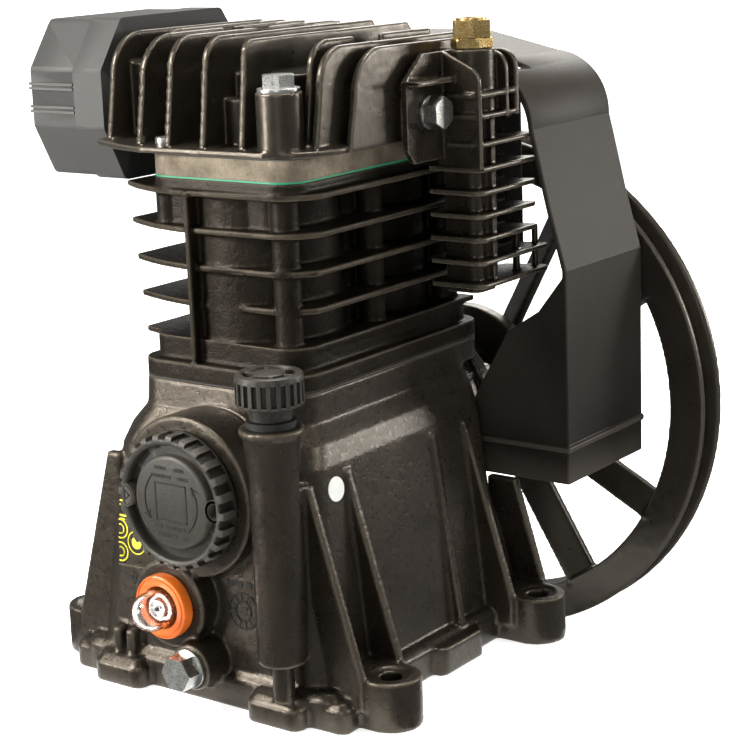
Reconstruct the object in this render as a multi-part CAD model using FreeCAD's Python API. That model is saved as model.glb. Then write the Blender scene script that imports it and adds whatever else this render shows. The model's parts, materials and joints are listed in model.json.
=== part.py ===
"""Belt-driven two-cylinder air-compressor pump head, as an assembly of separate pieces.

Frame: millimetres, +Z up, the crankshaft runs along Y at x = 0, the flywheel is at +Y.
The origin is the centre of the four foot holes, on the underside of the base.
"""
import FreeCAD, Part

import math
import os

V = FreeCAD.Vector

# ---------------------------------------------------------------- driving dimensions
FOOT_X, FOOT_Y = 86.1, 59.0          # foot holes, measured from the origin
FOOT_HOLE_R, FOOT_R, FOOT_TOP = 5.0, 13.3, 22.0
BASE_X, BASE_Y, BASE_T = 72.8, 83.5, 16.0
CRANK_Z = 94.3                       # crankshaft axis above the base
JOINT_Z = 138.0                      # top face of the crankcase
BLOCK_TOP = 228.0                    # deck of the cylinder block
BLOCK_Y0, BLOCK_Y1 = -60.0, 78.0     # front and back of the cylinder block
CYL_Y = (-23.0, 41.0)                # cylinder axes
BORE_R, BARREL_R = 26.0, 33.5
THROW = 20.0                         # crank throw: half the stroke
ROD_L = 89.0                         # rod length between centres
CROWN = 24.0                         # gudgeon pin to piston crown
GASKET_T, LOWER_GASKET_T, UPPER_GASKET_T = 0.8, 0.6, 0.6
PLATE_T = 9.0                        # valve plate
WHEEL_R, WHEEL_Y0, WHEEL_Y1 = 130.0, 142.0, 162.2
WHEEL_RIM_IN = 112.0
RUN = 0.04                           # radial running clearance
M8_HEAD_AF, M8_HEAD_H = 13.0, 5.5

PLATE_Z0 = BLOCK_TOP + GASKET_T
PLATE_Z1 = PLATE_Z0 + PLATE_T
HEAD_Z0 = PLATE_Z1 + UPPER_GASKET_T
BLOCK_Z0 = JOINT_Z + LOWER_GASKET_T
ROD_TILT = math.degrees(math.asin(THROW / ROD_L))
PIN_Z = CRANK_Z + math.sqrt(ROD_L ** 2 - THROW ** 2)
CRANK_SIDE = (1, -1)                 # crankpin 1 at +X, crankpin 2 at -X

FRONT_BEARING_Y = (-72.5, -57.5)
REAR_BEARING_Y = (82.0, 97.0)
JOURNAL_R, RACE_IN_R, RACE_OUT_R, BEARING_R = 12.5, 16.0, 22.6, 26.0
CRANKPIN_R, SHELL_R = 11.0, 13.0
PISTON_PIN_R = 6.0
ROD_BOLT_X = 20.7                    # rod cap bolts, from the crankpin axis

HEAD_BOLTS = ((31.5, -49.0, 265.5), (33.0, 9.0, 272.0), (33.0, 67.0, 272.0),
              (-33.0, 67.0, 272.0), (-33.0, 9.0, 272.0))       # x, y and seat height
CORNER_SCREW = (-33.0, -49.0)
LAND_Z = 127.0                       # underside of the columns that take the head bolts' threads
HEAD_FINS = ((-71.0, -46.0, 288.0, 20.0), (-57.0, -34.0, 288.0, 20.0), (-42.0, -58.0, 288.0, 20.0),
             (-24.0, -59.5, 288.0, 15.0), (-4.0, -59.5, 288.0, 12.0), (16.0, -57.5, 287.0, 6.0),
             (35.0, -37.5, 285.0, 13.0), (45.5, -45.0, 283.0, 16.0),
             (52.0, -30.0, 281.0, 20.0))                       # x, front edge, top and corner radius
FILLER_X, FILLER_Y = 51.0, -88.0
SIGHT_X, SIGHT_Z = -12.0, 44.0
DRAIN_X, DRAIN_Z = 4.0, 19.5
COOLER_X0, COOLER_X1, COOLER_Y0, COOLER_Y1 = 57.0, 78.0, 30.0, 72.0


# ---------------------------------------------------------------- shape helpers
def box(x0, x1, y0, y1, z0, z1):
    return Part.makeBox(x1 - x0, y1 - y0, z1 - z0, V(x0, y0, z0))


def cyl_x(r, x0, x1, y, z):
    return Part.makeCylinder(r, x1 - x0, V(x0, y, z), V(1, 0, 0))


def cyl_y(r, y0, y1, x=0.0, z=CRANK_Z):
    return Part.makeCylinder(r, y1 - y0, V(x, y0, z), V(0, 1, 0))


def cyl_z(r, x, y, z0, z1):
    return Part.makeCylinder(r, z1 - z0, V(x, y, z0), V(0, 0, 1))


def ring_y(r_in, r_out, y0, y1, x=0.0, z=CRANK_Z):
    return cyl_y(r_out, y0, y1, x, z).cut(cyl_y(r_in, y0 - 1, y1 + 1, x, z))


def ring_z(r_in, r_out, x, y, z0, z1):
    return cyl_z(r_out, x, y, z0, z1).cut(cyl_z(r_in, x, y, z0 - 1, z1 + 1))


def fuse(shapes):
    shapes = list(shapes)
    if len(shapes) == 1:
        return shapes[0]
    return shapes[0].multiFuse(shapes[1:]).removeSplitter()


def cut(shape, tools):
    tools = list(tools)
    return shape.cut(tools) if tools else shape


def rounded_rect(x0, x1, y0, y1, r, z):
    """Closed wire: a rectangle with four round corners, at height z."""
    arcs = ((x1 - r, y1 - r, 0), (x0 + r, y1 - r, 90), (x0 + r, y0 + r, 180), (x1 - r, y0 + r, 270))
    edges = []
    ends = []
    for cx, cy, start in arcs:
        points = [V(cx + r * math.cos(math.radians(a)), cy + r * math.sin(math.radians(a)), z)
                  for a in (start, start + 45, start + 90)]
        ends.append((points[0], points[2]))
        edges.append(Part.Arc(*points).toShape())
    loop = []
    for i in range(4):
        loop.append(edges[i])
        loop.append(Part.makeLine(ends[i][1], ends[(i + 1) % 4][0]))
    return Part.Wire(loop)


def slab(x0, x1, y0, y1, r, z0, z1):
    return Part.Face(rounded_rect(x0, x1, y0, y1, r, z0)).extrude(V(0, 0, z1 - z0))


def loft(sections):
    return Part.makeLoft([rounded_rect(*s) for s in sections], True, True)


def prism(points, direction):
    """Extrude a closed polygon of 3-D points along direction."""
    wire = Part.makePolygon([V(*p) for p in points] + [V(*points[0])])
    return Part.Face(wire).extrude(V(*direction))


def hexagon(af, height, base, axis, turn=0.0):
    """Hexagonal bar of width af across flats, from base along axis."""
    r = af / math.sqrt(3)
    points = [V(r * math.cos(math.radians(60 * i + turn)), r * math.sin(math.radians(60 * i + turn)), 0)
              for i in range(7)]
    bar = Part.Face(Part.makePolygon(points)).extrude(V(0, 0, height))
    crown = Part.makeCone(r * 1.02 + 0.3 * height, r * 0.93, height).common(bar)
    crown.Placement = FreeCAD.Placement(V(*base), FreeCAD.Rotation(V(0, 0, 1), V(*axis)))
    return crown


def chamfer_top(shape, z, size):
    """Chamfer the edges that lie wholly at height z."""
    edges = [e for e in shape.Edges
             if abs(e.BoundBox.ZMin - z) < 1e-4 and abs(e.BoundBox.ZMax - z) < 1e-4]
    return shape.makeChamfer(size, edges)


NODES = {}


def add(name, shape):
    """Register a node; a list of shapes becomes one group of separate solids."""
    if isinstance(shape, (list, tuple)):
        shape = Part.makeCompound(list(shape))
    NODES[name] = shape


# ---------------------------------------------------------------- crankcase
def crankcase():
    walls = ((-67, 67, -80, 78, 14, 14.0), (-61, 61, -77, 67.5, 14, 70.0), (-56, 56, -73, 67.5, 14, 108.0),
             (-53, 53, -69, 67.5, 14, 117.0), (-47.5, 47.5, -63, 67.5, 12, 125.0),
             (-47, 47, -62, 67.5, 12, JOINT_Z))
    body = loft(walls)
    inner = ((-60, 60, -73, 70, 10, 9.0), (-54, 54, -70, 61.5, 10, 70.0), (-49, 49, -66, 61.5, 10, 108.0),
             (-46, 46, -62, 61.5, 10, 116.0), (-38, 38, -54, 61.5, 8, 125.0),
             (-38, 38, -54, 61.5, 8, JOINT_Z + 1))
    base = chamfer_top(slab(-BASE_X, BASE_X, -BASE_Y, BASE_Y, 8, 0, BASE_T), BASE_T, 3.0)
    solids = [body, base, slab(-47, 47, -62, BLOCK_Y1 + 1, 12, 128, JOINT_Z)]
    for sx in (-1, 1):
        for sy in (-1, 1):
            x, y = sx * FOOT_X, sy * FOOT_Y
            solids.append(cyl_z(FOOT_R, x, y, 0, FOOT_TOP))
            solids.append(box(min(x, sx * 60), max(x, sx * 60), y - FOOT_R, y + FOOT_R, 0, FOOT_TOP))
            pad = sorted((sx * 64, sx * 79))
            solids.append(chamfer_top(slab(pad[0], pad[1], sy * 77 - 6, sy * 77 + 6, 5, 0, 13), 13, 3))
        bump = sorted((sx * 60, sx * 78))
        solids.append(slab(bump[0], bump[1], -8, 27, 5, 0, 13))
        front = sorted((sx * 30, sx * 60))
        solids.append(chamfer_top(slab(front[0], front[1], -91.5, -70, 6, 0, 13), 13, 4))
        for y in (-FOOT_Y - FOOT_R, -FOOT_Y + FOOT_R + 0.5, FOOT_Y - FOOT_R):
            solids.append(gusset(sx, y, 82.0, FOOT_TOP))
        solids.append(gusset(sx, 19.0, 72.0, 12.0))
        solids.append(gusset(sx, FOOT_Y + FOOT_R + 0.5, 82.0, FOOT_TOP).common(box(-90, 90, 60, 90, 0, 71)))
    solids.append(cyl_y(36, -87, -66))                       # front hub boss
    solids.append(cyl_y(34, -67, -57.0))
    solids.append(cyl_y(43, 60, 84).common(box(-60, 60, 50, 90, 0, JOINT_Z - 1)))
    solids.append(cyl_y(20, -89, -70, SIGHT_X, SIGHT_Z))     # sight glass boss
    solids.append(cyl_y(10.5, -95, -70, DRAIN_X, DRAIN_Z))   # drain boss
    solids.append(box(DRAIN_X - 4, DRAIN_X + 4, -88, -70, 8, DRAIN_Z))
    solids += [slab(x, x + 5, -86, -79, 2, 10, 25) for x in (-51, -43)]     # two lugs on the base
    solids.append(cyl_z(10.5, FILLER_X, FILLER_Y, 30, 131))  # oil filler tube
    solids.append(cyl_z(13.8, FILLER_X, FILLER_Y, 130, 133))
    solids.append(Part.makeCone(10.5, 12.4, 20, V(FILLER_X, FILLER_Y, 110)))
    solids.append(cyl_z(4.8, FILLER_X, FILLER_Y, 12, 31))
    solids.append(box(FILLER_X - 5, FILLER_X + 5, FILLER_Y, -70, 30, 104))
    case = fuse(solids)
    tools = [cyl_y(BEARING_R, -72.5, -50), cyl_y(22.0, -90, -72), cyl_y(36.5, 50, 90)]
    tools.append(cyl_y(9.5, -95, -60, SIGHT_X, SIGHT_Z))
    tools.append(cyl_y(13.2, -95, -82, SIGHT_X, SIGHT_Z))
    tools.append(cyl_y(5.0, -110, -60, DRAIN_X, DRAIN_Z))
    tools.append(cyl_z(6.5, FILLER_X, FILLER_Y, 36, 140))    # bore of the filler tube
    tools.append(Part.makeCylinder(5.0, 34, V(FILLER_X, FILLER_Y, 44), V(-0.35, 1, 0)))
    for sx in (-1, 1):
        for sy in (-1, 1):
            tools.append(cyl_z(FOOT_HOLE_R, sx * FOOT_X, sy * FOOT_Y, -1, 40))
            tools.append(cyl_z(8.5, sx * FOOT_X, sy * FOOT_Y, FOOT_TOP - 1.2, 40))
    tools += [cyl_z(3.4, x, y, LAND_Z, JOINT_Z + 1) for x, y, _ in HEAD_BOLTS]
    tools += [cyl_y(2.1, 70, 90, x, z) for x, z in rear_screws()]
    return cut(fuse_bolt_lands(case, inner), tools)


def fuse_bolt_lands(case, inner):
    """Hollow the case, then add the columns that take the threads of the long head bolts."""
    hollow = cut(case, [loft(inner)])
    return fuse([hollow] + [cyl_z(7.0, x, y, LAND_Z, JOINT_Z) for x, y, _ in HEAD_BOLTS])


def gusset(side, y, foot_x, foot_z):
    """Triangular web from a foot up to the case wall, in a plane of constant y."""
    t = 4.5
    points = ((side * 55, y - t / 2, 8), (side * foot_x, y - t / 2, 8), (side * foot_x, y - t / 2, foot_z),
              (side * 57.5, y - t / 2, 104), (side * 50, y - t / 2, 104))
    return prism(points, (0, t, 0))


def rear_screws():
    return [(41.0 * math.cos(math.radians(a)), CRANK_Z + 41.0 * math.sin(math.radians(a)))
            for a in (30, 150, 210, 270, 330)]


def rear_cover():
    cover = fuse([cyl_y(46, 84.5, 92).common(box(-60, 60, 80, 100, 0, JOINT_Z - 1)), cyl_y(36.2, 79, 86),
                  cyl_y(31, 90, 106)])
    tools = [cyl_y(BEARING_R, 78, 97), cyl_y(15, 96, 101), cyl_y(20, 99, 107)]
    tools += [cyl_y(2.7, 80, 95, x, z) for x, z in rear_screws()]
    return cut(cover, tools)


def bearing(y0, y1):
    """Outer ring with its balls, and the inner ring, of a deep-groove ball bearing."""
    mid = 0.5 * (y0 + y1)
    groove = Part.makeTorus(19.3, 4.0, V(0, mid, CRANK_Z), V(0, 1, 0))
    outer = ring_y(RACE_OUT_R, BEARING_R, y0, y1).cut(groove)
    inner = ring_y(JOURNAL_R, RACE_IN_R, y0, y1).cut(groove)
    balls = []
    for i in range(9):
        a = math.radians(40 * i)
        centre = V(19.3 * math.cos(a), mid, CRANK_Z + 19.3 * math.sin(a))
        balls.append(Part.makeSphere(3.95, centre))
    return [outer] + balls, inner


# ---------------------------------------------------------------- crank train
def web(y0, y1, pin_x):
    """Crank cheek: a hub, a lobe round the pin and a counterweight on the other side."""
    lobe = fuse([cyl_y(17, y0, y1), cyl_y(16, y0, y1, pin_x)])
    weight = cyl_y(36, y0, y1).common(box(*sorted((-math.copysign(40, pin_x), 0)), y0, y1,
                                          CRANK_Z - 27, CRANK_Z + 27))
    return fuse([lobe, weight])


def crankshaft():
    x1, x2 = (side * THROW for side in CRANK_SIDE)
    parts = [cyl_y(JOURNAL_R, -72.5, -47), cyl_y(16, -57.5, -46), web(-47, -35, x1),
             cyl_y(CRANKPIN_R, -36, -10, x1), web(-11, 3, x1), cyl_y(17, 2, 16), web(15, 29, x2),
             cyl_y(CRANKPIN_R, 28, 54, x2), web(53, 65, x2), cyl_y(16, 64, 82),
             cyl_y(JOURNAL_R, 81, 160)]
    shaft = fuse(parts)
    return shaft.cut(cyl_y(4.25, 132, 161))


def rod_frame(index):
    """Placement that takes a rod drawn upright at the origin to its crankpin."""
    side = CRANK_SIDE[index]
    return FreeCAD.Placement(V(side * THROW, CYL_Y[index], CRANK_Z),
                             FreeCAD.Rotation(V(0, 1, 0), -side * ROD_TILT))


def placed(shape, placement):
    moved = shape.copy()
    moved.Placement = placement.multiply(moved.Placement)
    return moved


def rod_upper():
    blank = fuse([cyl_y(18, -9.5, 9.5, 0, 0).common(box(-30, 30, -10, 10, 0, 30)),
                  box(-25.3, 25.3, -8, 8, 0, 9), cyl_y(11, -8.5, 8.5, 0, ROD_L),
                  prism(((-10, -6, 12), (10, -6, 12), (7, -6, ROD_L - 7), (-7, -6, ROD_L - 7)), (0, 12, 0))])
    tools = [cyl_y(SHELL_R, -12, 12, 0, 0), cyl_y(PISTON_PIN_R + 0.6, -12, 12, 0, ROD_L)]
    for side in (-1, 1):
        tools.append(prism(((-5, side * 6, 22), (5, side * 6, 22), (3.2, side * 6, ROD_L - 15),
                            (-3.2, side * 6, ROD_L - 15)), (0, -side * 3.5, 0)))
        tools.append(cyl_z(2.6, side * ROD_BOLT_X, 0, -1, 10))
    return cut(blank, tools)


def rod_cap():
    blank = fuse([cyl_y(18, -9.5, 9.5, 0, 0).common(box(-30, 30, -10, 10, -30, 0)),
                  box(-25.3, 25.3, -8, 8, -8, 0), box(-2.5, 2.5, -5, 5, -36, -16)])
    tools = [cyl_y(SHELL_R, -12, 12, 0, 0)]
    tools += [cyl_z(2.6, side * ROD_BOLT_X, 0, -9, 1) for side in (-1, 1)]
    return cut(blank, tools)


def rod_bolts():
    bolts = []
    for side in (-1, 1):
        head = hexagon(8, 3.5, (side * ROD_BOLT_X, 0, -8), (0, 0, -1))
        bolts.append(fuse([head, cyl_z(2.6, side * ROD_BOLT_X, 0, -8.2, 9.5)]))
    return bolts


def shell():
    return ring_y(CRANKPIN_R + RUN, SHELL_R, -9, 9, 0, 0)


def piston(index):
    """Hollow piston with two ring grooves, an oil-ring groove and two pin bosses."""
    y = CYL_Y[index]
    top = PIN_Z + CROWN
    body = cyl_z(BORE_R - 0.08, 0, y, top - 42, top)
    hollow = cyl_z(21.5, 0, y, top - 43, top - 6)
    bosses = fuse([cyl_y(9.5, y - 21, y - 10, 0, PIN_Z), cyl_y(9.5, y + 10, y + 21, 0, PIN_Z),
                   box(-9.5, 9.5, y - 21, y - 10, PIN_Z, top - 5),
                   box(-9.5, 9.5, y + 10, y + 21, PIN_Z, top - 5)])
    bosses = bosses.common(cyl_z(22.5, 0, y, top - 43, top - 5))
    body = fuse([body.cut(hollow), bosses])
    tools = [cyl_y(PISTON_PIN_R, y - 30, y + 30, 0, PIN_Z)]
    tools += [ring_z(BORE_R - 3.0, BORE_R + 2, 0, y, top - z1, top - z0) for z0, z1 in RING_GROOVES]
    return cut(body, tools)


RING_GROOVES = ((4.0, 6.0), (8.5, 10.5), (13.0, 16.5))


def piston_rings(index):
    top = PIN_Z + CROWN
    rings = []
    for z0, z1 in RING_GROOVES:
        ring = ring_z(BORE_R - 2.8, BORE_R - RUN, 0, CYL_Y[index], top - z1, top - z0)
        slot = box(20, 30, CYL_Y[index] - 0.3, CYL_Y[index] + 0.3, top - z1 - 1, top - z0 + 1)
        rings.append(ring.cut(slot))
    return rings


# ---------------------------------------------------------------- cylinder block
def block_outline(grow=0.0):
    """Plan of one cooling fin: straight right side, wide rounded left side."""
    g = grow
    pts = [V(28, BLOCK_Y0 - g, 0), V(49 + g, -44, 0), V(49 + g, BLOCK_Y1, 0), V(-60 - g, BLOCK_Y1, 0),
           V(-61 - g, -46, 0), V(-16, BLOCK_Y0 - 1 - g, 0)]
    corner = Part.Arc(pts[0], V(43 + g, BLOCK_Y0 + 5 - g, 0), pts[1]).toShape()
    nose = Part.Arc(pts[4], V(-40, -56.5 - g, 0), pts[5]).toShape()
    edges = [corner, Part.makeLine(pts[1], pts[2]), Part.makeLine(pts[2], pts[3]),
             Part.makeLine(pts[3], pts[4]), nose, Part.makeLine(pts[5], pts[0])]
    return Part.Face(Part.Wire(edges))


def fin_plate(z, t, inset=0.0):
    face = block_outline(-inset)
    face.translate(V(0, 0, z - t / 2))
    return face.extrude(V(0, 0, t))


BLOCK_FINS = (222.0, 205.4, 188.8, 172.2, 155.6)


def cylinder_block():
    """Two finned barrels cast in one, with a column round each long head bolt."""
    core = fuse([cyl_z(BARREL_R, 0, y, BLOCK_Z0, BLOCK_TOP) for y in CYL_Y]
                + [slab(-27, 27, CYL_Y[0], CYL_Y[1] + 28, 6, BLOCK_Z0, BLOCK_TOP),
                   slab(-34, 29, BLOCK_Y0 + 7, BLOCK_Y1 - 5, 6, 205, BLOCK_TOP)])
    deck = slab(-38, 44, BLOCK_Y0 + 1, BLOCK_Y1 - 1, 12, BLOCK_TOP - 7, BLOCK_TOP)
    foot = slab(-47, 47, -62, BLOCK_Y1 + 1, 12, BLOCK_Z0, BLOCK_Z0 + 8)
    waist = slab(-44, 42, BLOCK_Y0 + 3, BLOCK_Y1 - 1, 12, BLOCK_Z0, 157)
    solids = [core, deck, foot, waist, box(-14.8, -12.2, BLOCK_Y0 - 1.5, -53, BLOCK_Z0 + 4, 222)]
    solids += [fin_plate(z, 2.6, 0.02 * (222 - z) * 5) for z in BLOCK_FINS]
    solids += [cyl_z(6.0, x, y, BLOCK_Z0, BLOCK_TOP) for x, y, _ in HEAD_BOLTS]
    solids += [box(-33, 33, y - 3, y + 3, BLOCK_Z0, BLOCK_TOP) for y in (9, 66)]      # webs to the columns
    solids.append(cyl_z(6.0, *CORNER_SCREW, 205, BLOCK_TOP))
    block = fuse(solids)
    tools = [cyl_z(BORE_R, 0, y, BLOCK_Z0 - 1, BLOCK_TOP + 1) for y in CYL_Y]
    tools += [cyl_z(4.2, x, y, BLOCK_Z0 - 1, BLOCK_TOP + 1) for x, y, _ in HEAD_BOLTS]
    tools.append(cyl_z(2.6, *CORNER_SCREW, BLOCK_TOP - 18, BLOCK_TOP + 1))
    return cut(block, tools)


def gasket(z0, z1, openings, corner=True):
    sheet = slab(-38, 44, BLOCK_Y0 + 1, BLOCK_Y1 - 1, 12, z0, z1)
    tools = list(openings)
    tools += [cyl_z(4.6, x, y, z0 - 1, z1 + 1) for x, y, _ in HEAD_BOLTS]
    if corner:
        tools.append(cyl_z(3.1, *CORNER_SCREW, z0 - 1, z1 + 1))
    return cut(sheet, tools)


def base_gasket():
    sheet = slab(-47, 47, -62, BLOCK_Y1 + 1, 12, JOINT_Z, BLOCK_Z0)
    tools = [cyl_z(BORE_R + 1, 0, y, JOINT_Z - 1, BLOCK_Z0 + 1) for y in CYL_Y]
    tools += [cyl_z(4.6, x, y, JOINT_Z - 1, BLOCK_Z0 + 1) for x, y, _ in HEAD_BOLTS]
    return cut(sheet, tools)


# ---------------------------------------------------------------- valves and head
INLET_X, OUTLET_X = -12.0, 12.0
PORT_R = 3.2


def ports(x, z0, z1, r=PORT_R):
    return [cyl_z(r, x, y + dy, z0, z1) for y in CYL_Y for dy in (-8, 0, 8)]


def valve_plate():
    plate = slab(-38, 44, BLOCK_Y0 + 1, BLOCK_Y1 - 1, 12, PLATE_Z0, PLATE_Z1)
    tools = ports(INLET_X, PLATE_Z0 - 1, PLATE_Z1 + 1) + ports(OUTLET_X, PLATE_Z0 - 1, PLATE_Z1 + 1)
    tools += [cyl_z(4.3, x, y, PLATE_Z0 - 1, PLATE_Z1 + 1) for x, y, _ in HEAD_BOLTS]
    tools.append(cyl_z(3.1, *CORNER_SCREW, PLATE_Z0 - 1, PLATE_Z1 + 1))
    tools += [box(INLET_X - 5.5, INLET_X + 5.5, y - 15, y + 15, PLATE_Z0 - 1, PLATE_Z0 + 1.2) for y in CYL_Y]
    tools += [box(OUTLET_X - 5.5, OUTLET_X + 5.5, y - 15, y + 15, PLATE_Z1 - 3.4, PLATE_Z1 + 1)
              for y in CYL_Y]
    return cut(plate, tools)


def reed(x, y, z0, z1):
    """Thin spring-steel strip: fixed at its front end, free over the three ports."""
    return slab(x - 4.8, x + 4.8, y - 14.5, y + 13.5, 4.5, z0, z1)


def reed_stop(y):
    """Arched guard that limits the outlet reed's lift."""
    z = PLATE_Z1 - 3.4 + 0.4
    bar = box(OUTLET_X - 4.5, OUTLET_X + 4.5, y - 14.5, y - 9.5, z, z + 2.4)
    arm = box(OUTLET_X - 4.5, OUTLET_X + 4.5, y - 14.5, y + 13.5, z + 1.4, z + 2.4)
    return fuse([bar, arm])


def head_fin(x, y_front, z_top, radius, t=3.0, y_back=74.0):
    """Vertical fin in a plane of constant x with a rounded front top corner."""
    x0 = x - t / 2
    zc, yc = z_top - radius, y_front + 5 + radius
    start = V(x0, y_front + 5, zc)
    mid = V(x0, yc - radius * math.cos(math.pi / 4), zc + radius * math.sin(math.pi / 4))
    end = V(x0, yc, z_top)
    edges = [Part.makeLine(V(x0, y_front, HEAD_Z0), start), Part.Arc(start, mid, end).toShape(),
             Part.makeLine(end, V(x0, y_back - 8, z_top - 1)),
             Part.makeLine(V(x0, y_back - 8, z_top - 1), V(x0, y_back, z_top - 12)),
             Part.makeLine(V(x0, y_back, z_top - 12), V(x0, y_back, HEAD_Z0)),
             Part.makeLine(V(x0, y_back, HEAD_Z0), V(x0, y_front, HEAD_Z0))]
    return Part.Face(Part.Wire(edges)).extrude(V(t, 0, 0))


def head_plate(z0, z1):
    """Base plate of the head: curved front edge, a wide ear to the left for the intake."""
    pts = [V(-79, -45, z0), V(-38, -61.5, z0), V(30, -60, z0), V(52, -34, z0), V(52, 76, z0), V(-79, 76, z0)]
    edges = [Part.Arc(pts[0], V(-60, -55, z0), pts[1]).toShape(), Part.makeLine(pts[1], pts[2]),
             Part.Arc(pts[2], V(46, -50, z0), pts[3]).toShape(), Part.makeLine(pts[3], pts[4]),
             Part.makeLine(pts[4], pts[5]), Part.makeLine(pts[5], pts[0])]
    return Part.Face(Part.Wire(edges)).extrude(V(0, 0, z1 - z0))


def cylinder_head():
    solids = [head_plate(HEAD_Z0, HEAD_Z0 + 2.6),
              slab(-62, 29, -36, 72, 10, HEAD_Z0, 271), slab(0, 50.5, -22, 72, 8, HEAD_Z0, 263)]
    solids += [head_fin(*fin) for fin in HEAD_FINS]
    solids.append(prism(((50, 7, HEAD_Z0 + 1.5), (50, 7, 256), (50, 14, 264), (50, 78, 264),
                         (50, 78, HEAD_Z0 + 1.5)), (COOLER_X0 - 50, 0, 0)))       # flange for the cooler
    solids.append(box(-80, -61, -30, 60, 240, 274))                  # intake flange
    solids.append(cyl_z(8, 3, -38, HEAD_Z0, 261))                    # plain casting boss
    solids += [cyl_z(10, x, y, HEAD_Z0, z) for x, y, z in HEAD_BOLTS]
    solids += [cyl_y(5.5, 70, SHROUD_TAB_Y, x, SHROUD_SCREW_Z) for x in SHROUD_SCREW_X]
    head = fuse(solids)
    head = head.cut(fuse([box(-55, -3, -30, 64, HEAD_Z0 - 1, 264), box(3, 23, -30, 64, HEAD_Z0 - 1, 264),
                          box(3, 41, -16, 64, HEAD_Z0 - 1, 257)]))
    head = fuse([head] + [cyl_z(9, x, y, HEAD_Z0, 266) for x, y, _ in HEAD_BOLTS[1:]])
    tools = [cyl_z(10.5, x, y, z, 300) for x, y, z in HEAD_BOLTS]
    tools += [cyl_z(4.3, x, y, HEAD_Z0 - 1, 300) for x, y, _ in HEAD_BOLTS]
    tools += [cyl_z(3.1, *CORNER_SCREW, HEAD_Z0 - 1, 250)]
    tools += [cyl_x(13, -82, -50, 15, 256), cyl_x(7.0, 39, 59, 50, 252)]
    tools += [cyl_x(4.0, 46, 59, y, COOLER_BOLT_Z) for y in COOLER_BOLT_Y]
    tools += [cyl_x(3.0, -81, -73, y, 256) for y in FILTER_SCREW_Y]
    tools += [cyl_y(2.5, 67, 80, x, SHROUD_SCREW_Z) for x in SHROUD_SCREW_X]
    return cut(head, tools)


def head_bolts():
    bolts, washers = [], []
    for x, y, z in HEAD_BOLTS:
        washers.append(ring_z(4.3, 9.2, x, y, z, z + 1.8))
        head = hexagon(M8_HEAD_AF, M8_HEAD_H, (x, y, z + 1.8), (0, 0, 1), turn=12)
        bolts.append(fuse([head, cyl_z(4.0, x, y, JOINT_Z, z + 2.0),
                           cyl_z(3.4, x, y, LAND_Z + 0.5, JOINT_Z + 1)]))
    return bolts, washers


def corner_screw():
    x, y = CORNER_SCREW
    z = HEAD_Z0 + 2.6
    screw = fuse([cyl_z(5.0, x, y, z, z + 3.2), cyl_z(2.6, x, y, BLOCK_TOP - 16, z + 1)])
    return screw.cut(hexagon(4.0, 3, (x, y, z + 1.4), (0, 0, 1)))


# ---------------------------------------------------------------- discharge cooler
def discharge_cooler():
    """Finned delivery chamber bolted to the right side of the head."""
    solids = [slab(COOLER_X0, COOLER_X1 - 4, COOLER_Y0 + 4, COOLER_Y1 - 6, 4, 168, 268)]
    for i, z in enumerate(COOLER_FINS):
        low = z < BLOCK_TOP
        inner_x = 50.4 if z < HEAD_Z0 else COOLER_X0
        y_back = 88.0 if i < 2 else (74.0 if low else 64.0)
        solids.append(cooler_fin(z, inner_x, y_back))
    solids.append(prism(((COOLER_X0, 30, 225), (COOLER_X1 + 2, 30, 225), (COOLER_X1 + 2, 30, 262),
                         (COOLER_X1 - 2, 30, 269), (62, 30, 276), (COOLER_X0, 30, 271)), (0, 3, 0)))
    for y in (51.5, 59.5):                                           # two upright fins, round at the top
        upright = slab(COOLER_X0 - 20, COOLER_X1 + 2, 236, 275, 8, 0, 2.6)
        upright.rotate(V(0, 0, 0), V(1, 0, 0), 90)
        upright.translate(V(0, y + 2.6, 0))
        solids.append(upright.common(box(COOLER_X0, 100, 40, 80, 246, 280)))
    solids += [box(COOLER_X1 - 6 + dx, COOLER_X1 - 3.4 + dx, y, y + 2.6, 172, 193)
               for dx, y in ((0, 66), (2, 79))]
    for y in COOLER_BOLT_Y:                                          # two ears on the flange
        solids.append(cyl_x(10.5, COOLER_X0, COOLER_X0 + 3, y, COOLER_BOLT_Z))
        solids.append(box(COOLER_X0, COOLER_X0 + 3, min(y, 40), max(y, 60), 240, 261))
    solids.append(cyl_z(10.0, OUTLET_PORT_X, OUTLET_PORT_Y, 255, OUTLET_PORT_Z))
    solids.append(box(COOLER_X1 - 5, COOLER_X1 + 0.5, COOLER_Y0 + 12, COOLER_Y0 + 16, 170, 258))
    tools = [box(61, 72, 38, 62, 174, 262), cyl_x(7.0, 50, 62, 50, 252),
             cyl_z(6.5, OUTLET_PORT_X, OUTLET_PORT_Y, 258, 280)]
    tools += [cyl_x(4.3, 50, 70, y, COOLER_BOLT_Z) for y in COOLER_BOLT_Y]
    tools.append(box(COOLER_X0 + 3, COOLER_X1 + 4, COOLER_BOLT_Y[1] - 10, 100, 239, 262))
    return cut(fuse(solids), tools)


COOLER_FINS = tuple(172.0 + 10.45 * i for i in range(6)) + (235.2, 247.6, 256.8)
OUTLET_PORT_X, OUTLET_PORT_Y, OUTLET_PORT_Z = 67.0, 44.0, 276.6


def cooler_fin(z, inner_x, y_back):
    t = 2.4
    pts = ((inner_x, 40), (inner_x, 33), (inner_x + 3, COOLER_Y0 - 1), (COOLER_X1, COOLER_Y0 - 1),
           (COOLER_X1 + 1.5, 36), (COOLER_X1 - 1, y_back), (COOLER_X0 + 2, y_back - 8), (inner_x, 60))
    return prism([(x, y, z - t / 2) for x, y in pts], (0, 0, t))


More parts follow.
